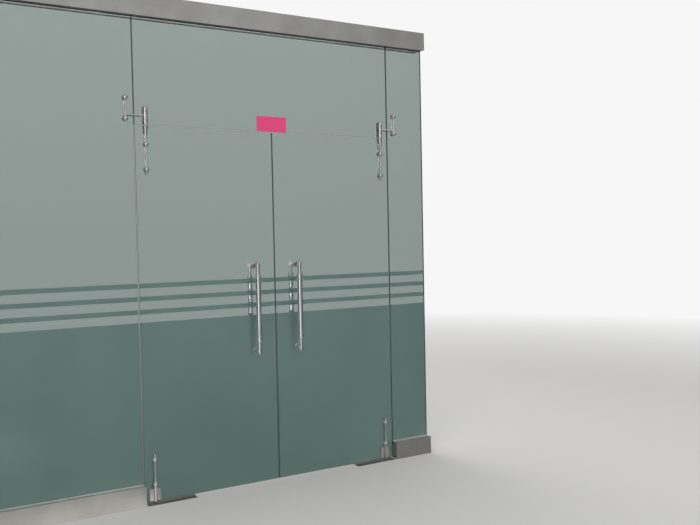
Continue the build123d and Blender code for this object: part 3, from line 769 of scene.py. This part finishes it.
@dataclass
class GlassAndFilm(Assembly):
    """The panes, the frosted film on their inner faces, and the tooled silicone between them.

    The transom's and the sidelight's edges are the two sides of the joint between them, along X.
    """

    half_glass: float = 6.0 * MM
    transom_edge: float = 0.862
    wall_joint: float = 3.0 * MM
    transom_bottom: float = 2.202
    fixed_bottom: float = 0.092
    fixed_top: float = 2.842
    arris: float = 1.0 * MM
    hollow: float = 0.8 * MM
    film_clear: float = 0.05 * MM
    step: float = 0.03
    waviness: float = 0.12 * MM
    arc_points: int = 7
    weld: float = 0.01 * MM
    seed: int = 4

    def tooled_outline(self, left: float, right: float, wobble: float) -> list[tuple[float, float]]:
        """The section of one joint, hollow on both faces.

        Args:
            left: The joint's left side along X.
            right: Its right side.
            wobble: How much deeper the hollow is at this place.

        Returns:
            The section's points as (x, y), once round.
        """
        lip = self.half_glass - 0.5 * self.arris
        spread = 0.5 * self.arris
        outline = []
        for face in (Face.APPROACH, Face.INNER):
            for i in range(self.arc_points):
                share = i / (self.arc_points - 1)
                share = share if face is Face.APPROACH else 1.0 - share
                x = left - spread + share * (right - left + 2.0 * spread)
                dip = (self.hollow + wobble) * math.sin(math.pi * share)
                outline.append((x, face.value * (lip - dip)))
        return outline

    def joint(
        self, shell: bmesh.types.BMesh, left: float, right: float, bottom: float, draw: random.Random
    ) -> None:
        """Add one upright joint to a mesh.

        Args:
            shell: The mesh to add to.
            left: The joint's left side along X.
            right: Its right side.
            bottom: Its lower end. The upper end is the top of the fixed glass.
            draw: The source of the small unevenness.
        """
        count = round((self.fixed_top - bottom) / self.step)
        rings = []
        for i in range(count + 1):
            z = bottom + (self.fixed_top - bottom) * i / count
            wobble = draw.uniform(-self.waviness, self.waviness)
            rings.append([shell.verts.new((x, y, z)) for x, y in self.tooled_outline(left, right, wobble)])
        size = len(rings[0])
        for low, high in zip(rings, rings[1:]):
            for i in range(size):
                shell.faces.new((low[i], low[(i + 1) % size], high[(i + 1) % size], high[i]))
        shell.faces.new(rings[0])
        shell.faces.new(rings[-1])

    def silicone(self) -> bpy.types.Object:
        """Build the tooled joints that stand for the plain strips.

        Returns:
            The piece.
        """
        draw = random.Random(self.seed)
        shell = bmesh.new()
        joints = [
            (-self.sidelight_edge, -self.transom_edge, self.transom_bottom),
            (self.transom_edge, self.sidelight_edge, self.transom_bottom),
            (self.right_wall - self.wall_joint, self.right_wall - 0.5 * self.arris, self.fixed_bottom),
            (-self.left_wall + 0.5 * self.arris, -self.left_wall + self.wall_joint, self.fixed_bottom),
        ]
        for left, right, bottom in joints:
            self.joint(shell, left, right, bottom, draw)
        mesh = bpy.data.meshes.new("tooled_silicone")
        shell.to_mesh(mesh)
        shell.free()
        piece = new_piece("tooled_silicone", mesh, self.palette.get("silicone"))
        mesh.shade_smooth()
        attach(piece, "frame")
        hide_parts("silicone_joints")
        LOG.info("built %s", piece.name)
        return piece

    def film_sheet(self, node: str, body: str) -> bpy.types.Object:
        """Build the film of one pane, its glued face a hair clear of the glass.

        Args:
            node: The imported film.
            body: The body that it moves with.

        Returns:
            The piece.
        """
        shell = bmesh.new()
        shell.from_mesh(self.frame["nodes"][node].data)
        bmesh.ops.remove_doubles(shell, verts=shell.verts, dist=self.weld)
        for vert in shell.verts:
            vert.co.y = max(vert.co.y, self.half_glass + self.film_clear)
        mesh = bpy.data.meshes.new(f"{node}_sheet")
        shell.to_mesh(mesh)
        shell.free()
        piece = new_piece(f"{node}_sheet", mesh, self.palette.get("frosted_film"))
        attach(piece, body)
        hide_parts(node)
        LOG.info("built %s", piece.name)
        return piece

    def build(self) -> None:
        """Dress the panes and build the film and the joints."""
        self.dress("tinted_glass", "silicone")
        for side in Side:
            name = side.name.lower()
            self.film_sheet(f"{name}_leaf_film", f"{name}_leaf")
            self.film_sheet(f"{name}_sidelight_film", "frame")
        self.silicone()


@dataclass
class HeaderAndPlinths(Assembly):
    """The clad header and plinths, the lips of the header's seal and the sealant beads of the plinths."""

    soffit: float = 2.820
    ledge: float = 0.116
    glass_face: float = 6.05 * MM
    lip_width: float = 3.4 * MM
    lip_height: float = 3.0 * MM
    lip_round: float = 1.2 * MM
    bead_width: float = 5.0 * MM
    bead_height: float = 6.5 * MM
    bead_round: float = 2.2 * MM
    bead_sunk: float = 0.5 * MM
    corner_steps: int = 4

    def swept(self, name: str, runs: list[Point], section: Point, finish: str, slot: str) -> bpy.types.Object:
        """Sweep a rounded bar along straight lines, on both faces of the glass.

        Args:
            name: The piece's name.
            runs: The start and end of each line along X, and its height.
            section: The bar's width, height and rounding.
            finish: The palette's name of its finish.
            slot: The record's material slot; not used.

        Returns:
            The piece.
        """
        recipe = GeometryRecipe(f"{name}_section")
        names = ("Bar width", "Bar height", "Bar rounding")
        width, height, radius = (recipe.size(size) for size in names)
        outline = recipe.node("GeometryNodeCurvePrimitiveQuadrilateral", Width=width, Height=height)
        rounded = recipe.node(
            "GeometryNodeFilletCurve",
            {"mode": "POLY"},
            Curve=outline.outputs[0],
            Count=self.corner_steps,
            Radius=radius,
        )
        path = recipe.node("GeometryNodeMeshToCurve", Mesh=recipe.source.outputs[0])
        swept = recipe.node(
            "GeometryNodeCurveToMesh",
            Curve=path.outputs[0],
            Profile_Curve=rounded.outputs[0],
            Fill_Caps=True,
        )
        recipe.finish(swept.outputs[0], self.palette.get(finish))
        lines = []
        for face in Face:
            y = face.value * (self.glass_face + 0.5 * section[0])
            lines += [((start, y, z), (end, y, z)) for start, end, z in runs]
        piece = recipe.run(name, line_mesh(f"{name}_lines", lines), dict(zip(names, section)))
        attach(piece, "frame")
        LOG.info("built %s", piece.name)
        return piece

    def build(self) -> None:
        """Dress the sheet, tubes, channels, seals and blocks, and build the lips and the beads."""
        self.dress("satin_casing", "steel_tube", "glazing_channel", "seal_rubber", "block_plastic")
        lip = (self.lip_width, self.lip_height, self.lip_round)
        head = [(-self.left_wall, self.right_wall, self.soffit)]
        self.swept("seal_lips", head, lip, "seal_rubber", "seal_rubber")
        z = self.ledge + 0.5 * self.bead_height - self.bead_sunk
        feet = [(-self.left_wall, -self.sidelight_edge, z), (self.sidelight_edge, self.right_wall, z)]
        bead = (self.bead_width, self.bead_height, self.bead_round)
        self.swept("plinth_beads", feet, bead, "pale_silicone", "silicone")


@dataclass
class ClampsAndPivots(Assembly):
    """The bead clamps, their studs and bushes, and the pivots."""

    def build(self) -> None:
        """Dress the castings and what they hold."""
        self.dress("polished_steel", "turned_steel", "nylon", "bronze")


@dataclass
class FloorSprings(Assembly):
    """The floor springs, their boxes and cover plates, and the recessed heads of the cover screws."""

    screw_x: Span = (0.761, 0.586)
    cover_top: float = 1.5 * MM
    head: float = 8.0 * MM
    head_height: float = 1.5 * MM
    shank: float = 5.0 * MM
    length: float = 14.0 * MM
    recess_length: float = 4.6 * MM
    recess_width: float = 1.1 * MM
    recess_depth: float = 0.9 * MM
    head_sides: int = 40
    shank_sides: int = 24

    def hung_rod(self, recipe: GeometryRecipe, diameter: Socket, length: Socket, sides: int) -> Socket:
        """A round rod that hangs down from the origin.

        Args:
            recipe: The tree that it belongs to.
            diameter: Its diameter.
            length: Its length.
            sides: How many sides its circle has.

        Returns:
            The rod's geometry.
        """
        radius = recipe.share_of(diameter)
        rod = recipe.node("GeometryNodeMeshCylinder", Vertices=sides, Radius=radius, Depth=length)
        middle = recipe.vector(0.0, 0.0, recipe.share_of(length, -0.5))
        return recipe.node("GeometryNodeTransform", Geometry=rod.outputs[0], Translation=middle).outputs[0]

    def screws(self) -> bpy.types.Object:
        """Place a cross-recessed countersunk screw at each hole of the cover plates.

        Returns:
            The piece.
        """
        sizes = {
            "Head diameter": self.head,
            "Head height": self.head_height,
            "Shank diameter": self.shank,
            "Length": self.length,
            "Recess length": self.recess_length,
            "Recess width": self.recess_width,
            "Recess depth": self.recess_depth,
        }
        recipe = GeometryRecipe("cover_screw")
        head, thick, shank, length, arm, slot, deep = (recipe.size(name) for name in sizes)
        capped = self.hung_rod(recipe, head, thick, self.head_sides)
        rodded = self.hung_rod(recipe, shank, length, self.shank_sides)
        deep_cut = recipe.vector(arm, slot, recipe.share_of(deep, 2.0))
        cutter = recipe.node("GeometryNodeMeshCube", Size=deep_cut)
        crossed = recipe.node("GeometryNodeTransform", Geometry=cutter.outputs[0])
        crossed.inputs["Rotation"].default_value = (0.0, 0.0, math.pi / 2.0)
        carved = recipe.tree.nodes.new("GeometryNodeMeshBoolean")
        carved.operation = "DIFFERENCE"
        recipe.tree.links.new(capped, carved.inputs["Mesh 1"])
        recipe.tree.links.new(crossed.outputs[0], carved.inputs["Mesh 2"])
        recipe.tree.links.new(cutter.outputs[0], carved.inputs["Mesh 2"])
        joined = recipe.tree.nodes.new("GeometryNodeJoinGeometry")
        recipe.tree.links.new(carved.outputs[0], joined.inputs[0])
        recipe.tree.links.new(rodded, joined.inputs[0])
        placed = recipe.node(
            "GeometryNodeInstanceOnPoints", Points=recipe.source.outputs[0], Instance=joined.outputs[0]
        )
        recipe.finish(placed.outputs[0], self.palette.get("turned_steel"))
        points = [(side.value * x, 0.0, self.cover_top) for side in Side for x in self.screw_x]
        piece = recipe.run("cover_screw_heads", point_mesh("screw_points", points), sizes)
        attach(piece, "frame")
        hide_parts("cover_screws")
        LOG.info("built %s", piece.name)
        return piece

    def build(self) -> None:
        """Dress the castings, boxes and plates and place the screws."""
        self.dress("cast_body", "galvanised_sheet", "cover_steel")
        self.screws()


@dataclass
class SignPlate(Assembly):
    """The bare plate on the transom."""

    def build(self) -> None:
        """Dress the plate."""
        self.dress("sign_plastic")


@dataclass(frozen=True)
class SoftPanel:
    """A soft light of the room that mirrors and metal see, as angles in degrees.

    One that lies beyond the glass isn't seen by way of a pane.
    """

    bearing: float
    reach: float
    low: float
    high: float
    soft: float
    power: float
    beyond: bool = False

    def band(self, wires: Wires, direction: Socket) -> Socket:
        """How bright it is at a height, whatever the bearing.

        Args:
            wires: The tree that it belongs to.
            direction: The unit vector that it is seen along.

        Returns:
            The strength.
        """
        height = wires.node("ShaderNodeSeparateXYZ", Vector=direction).outputs["Z"]
        low, high, soft = (math.radians(angle) for angle in (self.low, self.high, self.soft))
        above = wires.between(height, 0.0, self.power, math.sin(low - soft), math.sin(low + soft), True)
        below = wires.between(height, 1.0, 0.0, math.sin(high - soft), math.sin(high + soft), True)
        return wires.sums("MULTIPLY", above, below)

    def strength(self, wires: Wires, direction: Socket) -> Socket:
        """How bright it is along a direction.

        Args:
            wires: The tree that it belongs to.
            direction: The unit vector that it is seen along.

        Returns:
            The strength.
        """
        band = self.band(wires, direction)
        if self.reach >= ALL_ROUND:
            return band
        bearing, reach, soft = (math.radians(angle) for angle in (self.bearing, self.reach, self.soft))
        level = wires.vectors("MULTIPLY", direction, (1.0, 1.0, 0.0))
        unit = wires.vectors("NORMALIZE", level.outputs["Vector"])
        centre = (math.sin(bearing), -math.cos(bearing), 0.0)
        facing = wires.vectors("DOT_PRODUCT", unit.outputs["Vector"], centre).outputs["Value"]
        outer, inner = math.cos(reach + soft), math.cos(max(0.0, reach - soft))
        return wires.sums("MULTIPLY", band, wires.between(facing, 0.0, 1.0, outer, inner, True))


@dataclass(frozen=True)
class Lamp:
    """A wide square lamp that metal and glass don't show."""

    name: str
    place: Point
    target: Point
    size: float
    power: float

    def hang(self) -> None:
        """Hang the lamp and turn it to its target."""
        data = bpy.data.lights.new(self.name, "AREA")
        data.shape = "SQUARE"
        data.size = self.size
        data.energy = self.power
        lamp = bpy.data.objects.new(self.name, data)
        turn = (Vector(self.target) - Vector(self.place)).to_track_quat("-Z", "Y")
        lamp.matrix_world = Matrix.Translation(self.place) @ turn.to_matrix().to_4x4()
        lamp.visible_glossy = False
        lamp.visible_transmission = False
        bpy.context.scene.collection.objects.link(lamp)


@dataclass
class Studio:
    """Pale floor, plain light and the camera."""

    eye: Point = (-2.1085, -4.5426, 1.5282)
    yaw: float = 30.382
    pitch: float = -1.794
    roll: float = -1.177
    lens: float = 40.567
    sensor: float = 36.0
    sight: float = 300.0
    floor_radius: float = 60.0
    floor_sides: int = 96
    floor_colour: Colour = (0.80, 0.79, 0.77)
    floor_speckle: Colour = (0.77, 0.76, 0.735)
    speckles: float = 220.0
    speckle_range: Span = (0.4, 0.6)
    floor_rough: float = 0.75
    backdrop: Colour = (0.93, 0.93, 0.93)
    daylight: float = 0.62
    dim: float = 0.085
    panels: tuple[SoftPanel, ...] = (
        SoftPanel(bearing=-5.0, reach=40.0, low=-60.0, high=60.0, soft=16.0, power=0.13),
        SoftPanel(bearing=-44.0, reach=12.0, low=-30.0, high=38.0, soft=7.0, power=1.35),
        SoftPanel(bearing=8.0, reach=30.0, low=6.0, high=34.0, soft=14.0, power=0.62),
        SoftPanel(bearing=176.0, reach=36.0, low=-60.0, high=48.0, soft=12.0, power=0.45, beyond=True),
        SoftPanel(bearing=0.0, reach=180.0, low=58.0, high=89.0, soft=12.0, power=0.45),
        SoftPanel(bearing=58.0, reach=16.0, low=30.0, high=56.0, soft=8.0, power=1.10),
    )
    most_panes: float = 2.0
    pane_lift: float = 3.5
    cleared: Colour = (1.07, 0.86, 0.92)
    # Painted light: the floor close by glows for mirrored rays, brighter in a painted pool before the left
    # plinth.
    glow: float = 0.33
    glow_patch: float = 0.62
    patch_end: Span = (-0.88, -0.72)
    patch_front: Span = (0.32, 0.50)
    glow_reach: Span = (1.5, 5.0)
    paper_reach: Span = (4.5, 11.0)
    lamps: tuple[Lamp, ...] = (
        Lamp("key", (-4.5, -5.0, 4.6), (0.0, 0.0, 1.4), 3.0, 130.0),
        Lamp("fill", (4.5, -5.5, 3.2), (0.0, 0.0, 1.3), 3.5, 65.0),
        Lamp("behind", (0.5, 5.5, 4.2), (0.0, 0.0, 1.4), 4.0, 120.0),
    )

    def camera(self) -> bpy.types.Object:
        """Set up the camera.

        Returns:
            The camera.
        """
        yaw, pitch, roll = (math.radians(angle) for angle in (self.yaw, self.pitch, self.roll))
        forward = Vector((math.sin(yaw) * math.cos(pitch), math.cos(yaw) * math.cos(pitch), math.sin(pitch)))
        level = Vector((math.cos(yaw), -math.sin(yaw), 0.0))
        upward = level.cross(forward)
        right = level * math.cos(roll) + upward * math.sin(roll)
        top = upward * math.cos(roll) - level * math.sin(roll)
        turn = Matrix((right, top, -forward)).transposed()
        data = bpy.data.cameras.new("view")
        data.sensor_width = self.sensor
        data.lens = self.lens
        data.clip_end = self.sight
        camera = bpy.data.objects.new("view", data)
        camera.matrix_world = Matrix.Translation(self.eye) @ turn.to_4x4()
        bpy.context.scene.collection.objects.link(camera)
        bpy.context.scene.camera = camera
        return camera

    def panes(self, wires: Wires, path: Node) -> Socket:
        """How many panes a ray has passed, each by its two faces, up to the most that count.

        Args:
            wires: The tree that it belongs to.
            path: The tree's light path node.

        Returns:
            The count.
        """
        passed = wires.sums("DIVIDE", path.outputs["Transmission Depth"], float(len(Face)))
        return wires.sums("MINIMUM", passed, self.most_panes)

    def mirrored(self, wires: Wires, path: Node) -> Socket:
        """Whether a ray has met a mirror on its way, so that it sees the room and not the backdrop.

        Args:
            wires: The tree that it belongs to.
            path: The tree's light path node.

        Returns:
            One for such a ray and nought for any other.
        """
        turned = wires.sums("MINIMUM", path.outputs["Glossy Depth"], 1.0)
        return wires.sums("MULTIPLY", turned, path.outputs["Is Glossy Ray"])

    def room_colour(self, wires: Wires, path: Node) -> Socket:
        """The colour of what metal mirrors, which makes up for the grey-green and painted shade of the panes
        on the way.

        Args:
            wires: The tree that it belongs to.
            path: The tree's light path node.

        Returns:
            The colour.
        """
        share = wires.sums("DIVIDE", self.panes(wires, path), self.most_panes)
        share = wires.sums("MULTIPLY", share, self.mirrored(wires, path))
        return wires.blend(share, self.backdrop, self.cleared)

    def reflected(self, wires: Wires, direction: Socket, path: Node) -> Socket:
        """How bright metal and glass see the room: dim, with a few wide soft panels in it.

        What is seen through a pane is lifted, as clear glass would pass it.

        Args:
            wires: The tree that it belongs to.
            direction: The unit vector that it is seen along.
            path: The tree's light path node.

        Returns:
            The strength.
        """
        direct = wires.sums("SUBTRACT", 1.0, path.outputs["Is Transmission Ray"])
        strength = self.dim
        for panel in self.panels:
            seen = panel.strength(wires, direction)
            if panel.beyond:
                seen = wires.sums("MULTIPLY", seen, direct)
            strength = wires.sums("ADD", strength, seen)
        lift = wires.sums("POWER", self.pane_lift, self.panes(wires, path))
        return wires.sums("MULTIPLY", strength, lift)

    def air(self) -> None:
        """Plain daylight all round, which the camera, metal and glass see as a pale backdrop."""
        world = bpy.data.worlds.new("air")
        world.use_nodes = True
        wires = Wires(world.node_tree)
        path = wires.tree.nodes.new("ShaderNodeLightPath")
        room = self.reflected(wires, wires.coordinates.outputs["Generated"], path)
        paper = wires.between(self.shown(wires, path), self.daylight, 1.0)
        turned = self.mirrored(wires, path)
        plain = wires.sums("MULTIPLY", wires.sums("SUBTRACT", 1.0, turned), paper)
        strength = wires.sums("ADD", plain, wires.sums("MULTIPLY", turned, room))
        colour = self.room_colour(wires, path)
        light = wires.node("ShaderNodeBackground", Color=colour, Strength=strength)
        wires.node("ShaderNodeOutputWorld", Surface=light.outputs[0])
        bpy.context.scene.world = world

    def shown(self, wires: Wires, path: Node) -> Socket:
        """Whether the camera sees a thing, straight or through glass.

        Args:
            wires: The tree that it belongs to.
            path: The tree's light path node.

        Returns:
            One where it does and nought elsewhere.
        """
        return wires.sums("MAXIMUM", path.outputs["Is Camera Ray"], path.outputs["Is Transmission Ray"])

    def near_glow(self, recipe: Recipe) -> Socket:
        """How bright metal sees the floor close by: a painted glow, with a painted pool of light before the
        left plinth.

        Args:
            recipe: The floor's material.

        Returns:
            The strength.
        """
        spot = recipe.node("ShaderNodeSeparateXYZ", Vector=recipe.coordinates.outputs["Object"])
        lit = recipe.between(spot.outputs["X"], self.glow_patch, 0.0, *self.patch_end, True)
        depth = recipe.sums("ABSOLUTE", spot.outputs["Y"], 0.0)
        patch = recipe.sums("MULTIPLY", lit, recipe.between(depth, 1.0, 0.0, *self.patch_front, True))
        return recipe.sums("ADD", patch, self.glow)

    def floor_finish(self) -> bpy.types.Material:
        """Build the floor's finish: pale screed that turns into the backdrop far away, and that glows with
        painted light where metal and glass see it close by.

        Returns:
            The material.
        """
        recipe = Recipe("floor_screed")
        spread = recipe.between(recipe.noise(self.speckles), 0.0, 1.0, *self.speckle_range)
        tone = recipe.blend(spread, self.floor_colour, self.floor_speckle)
        screed = recipe.principled(Base_Color=tone, Roughness=self.floor_rough)
        paper = recipe.node("ShaderNodeEmission", Color=self.backdrop)
        path = recipe.tree.nodes.new("ShaderNodeLightPath")
        spot = recipe.coordinates.outputs["Object"]
        distance = recipe.vectors("LENGTH", spot).outputs["Value"]
        away = recipe.between(distance, 0.0, 1.0, *self.paper_reach)
        faded = recipe.sums("MULTIPLY", self.shown(recipe, path), away)
        plain = recipe.mix(faded, screed.outputs[0], paper.outputs[0])
        towards = recipe.vectors("NORMALIZE", spot).outputs["Vector"]
        strength = self.reflected(recipe, towards, path)
        room = recipe.node("ShaderNodeEmission", Color=self.room_colour(recipe, path), Strength=strength)
        # Painted light: an emission that metal and glass see on the floor close by.
        close = recipe.node("ShaderNodeEmission", Color=self.floor_colour, Strength=self.near_glow(recipe))
        distant = recipe.between(distance, 0.0, 1.0, *self.glow_reach)
        turned = recipe.mix(distant, close.outputs[0], room.outputs[0])
        return recipe.done(recipe.mix(self.mirrored(recipe, path), plain, turned))

    def floor(self) -> bpy.types.Object:
        """Lay the floor.

        Returns:
            The floor.
        """
        shell = bmesh.new()
        bmesh.ops.create_circle(shell, cap_ends=True, segments=self.floor_sides, radius=self.floor_radius)
        mesh = bpy.data.meshes.new("floor")
        shell.to_mesh(mesh)
        shell.free()
        mesh.materials.append(self.floor_finish())
        piece = bpy.data.objects.new("floor", mesh)
        bpy.context.scene.collection.objects.link(piece)
        return piece

    def build(self) -> None:
        """Set up camera, air, lamps and floor."""
        self.camera()
        self.air()
        for lamp in self.lamps:
            lamp.hang()
        self.floor()
        bpy.context.scene.view_settings.view_transform = "Standard"


def main() -> None:
    """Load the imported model, dress it, add the fine pieces and set the studio round it."""
    logging.basicConfig(level=logging.INFO, format="%(name)s: %(message)s")
    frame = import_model()
    palette = Palette()
    Studio().build()
    for kind in (GlassAndFilm, HeaderAndPlinths, ClampsAndPivots, FloorSprings, SignPlate):
        kind(frame, palette).build()


if __name__ == "__main__":
    main()
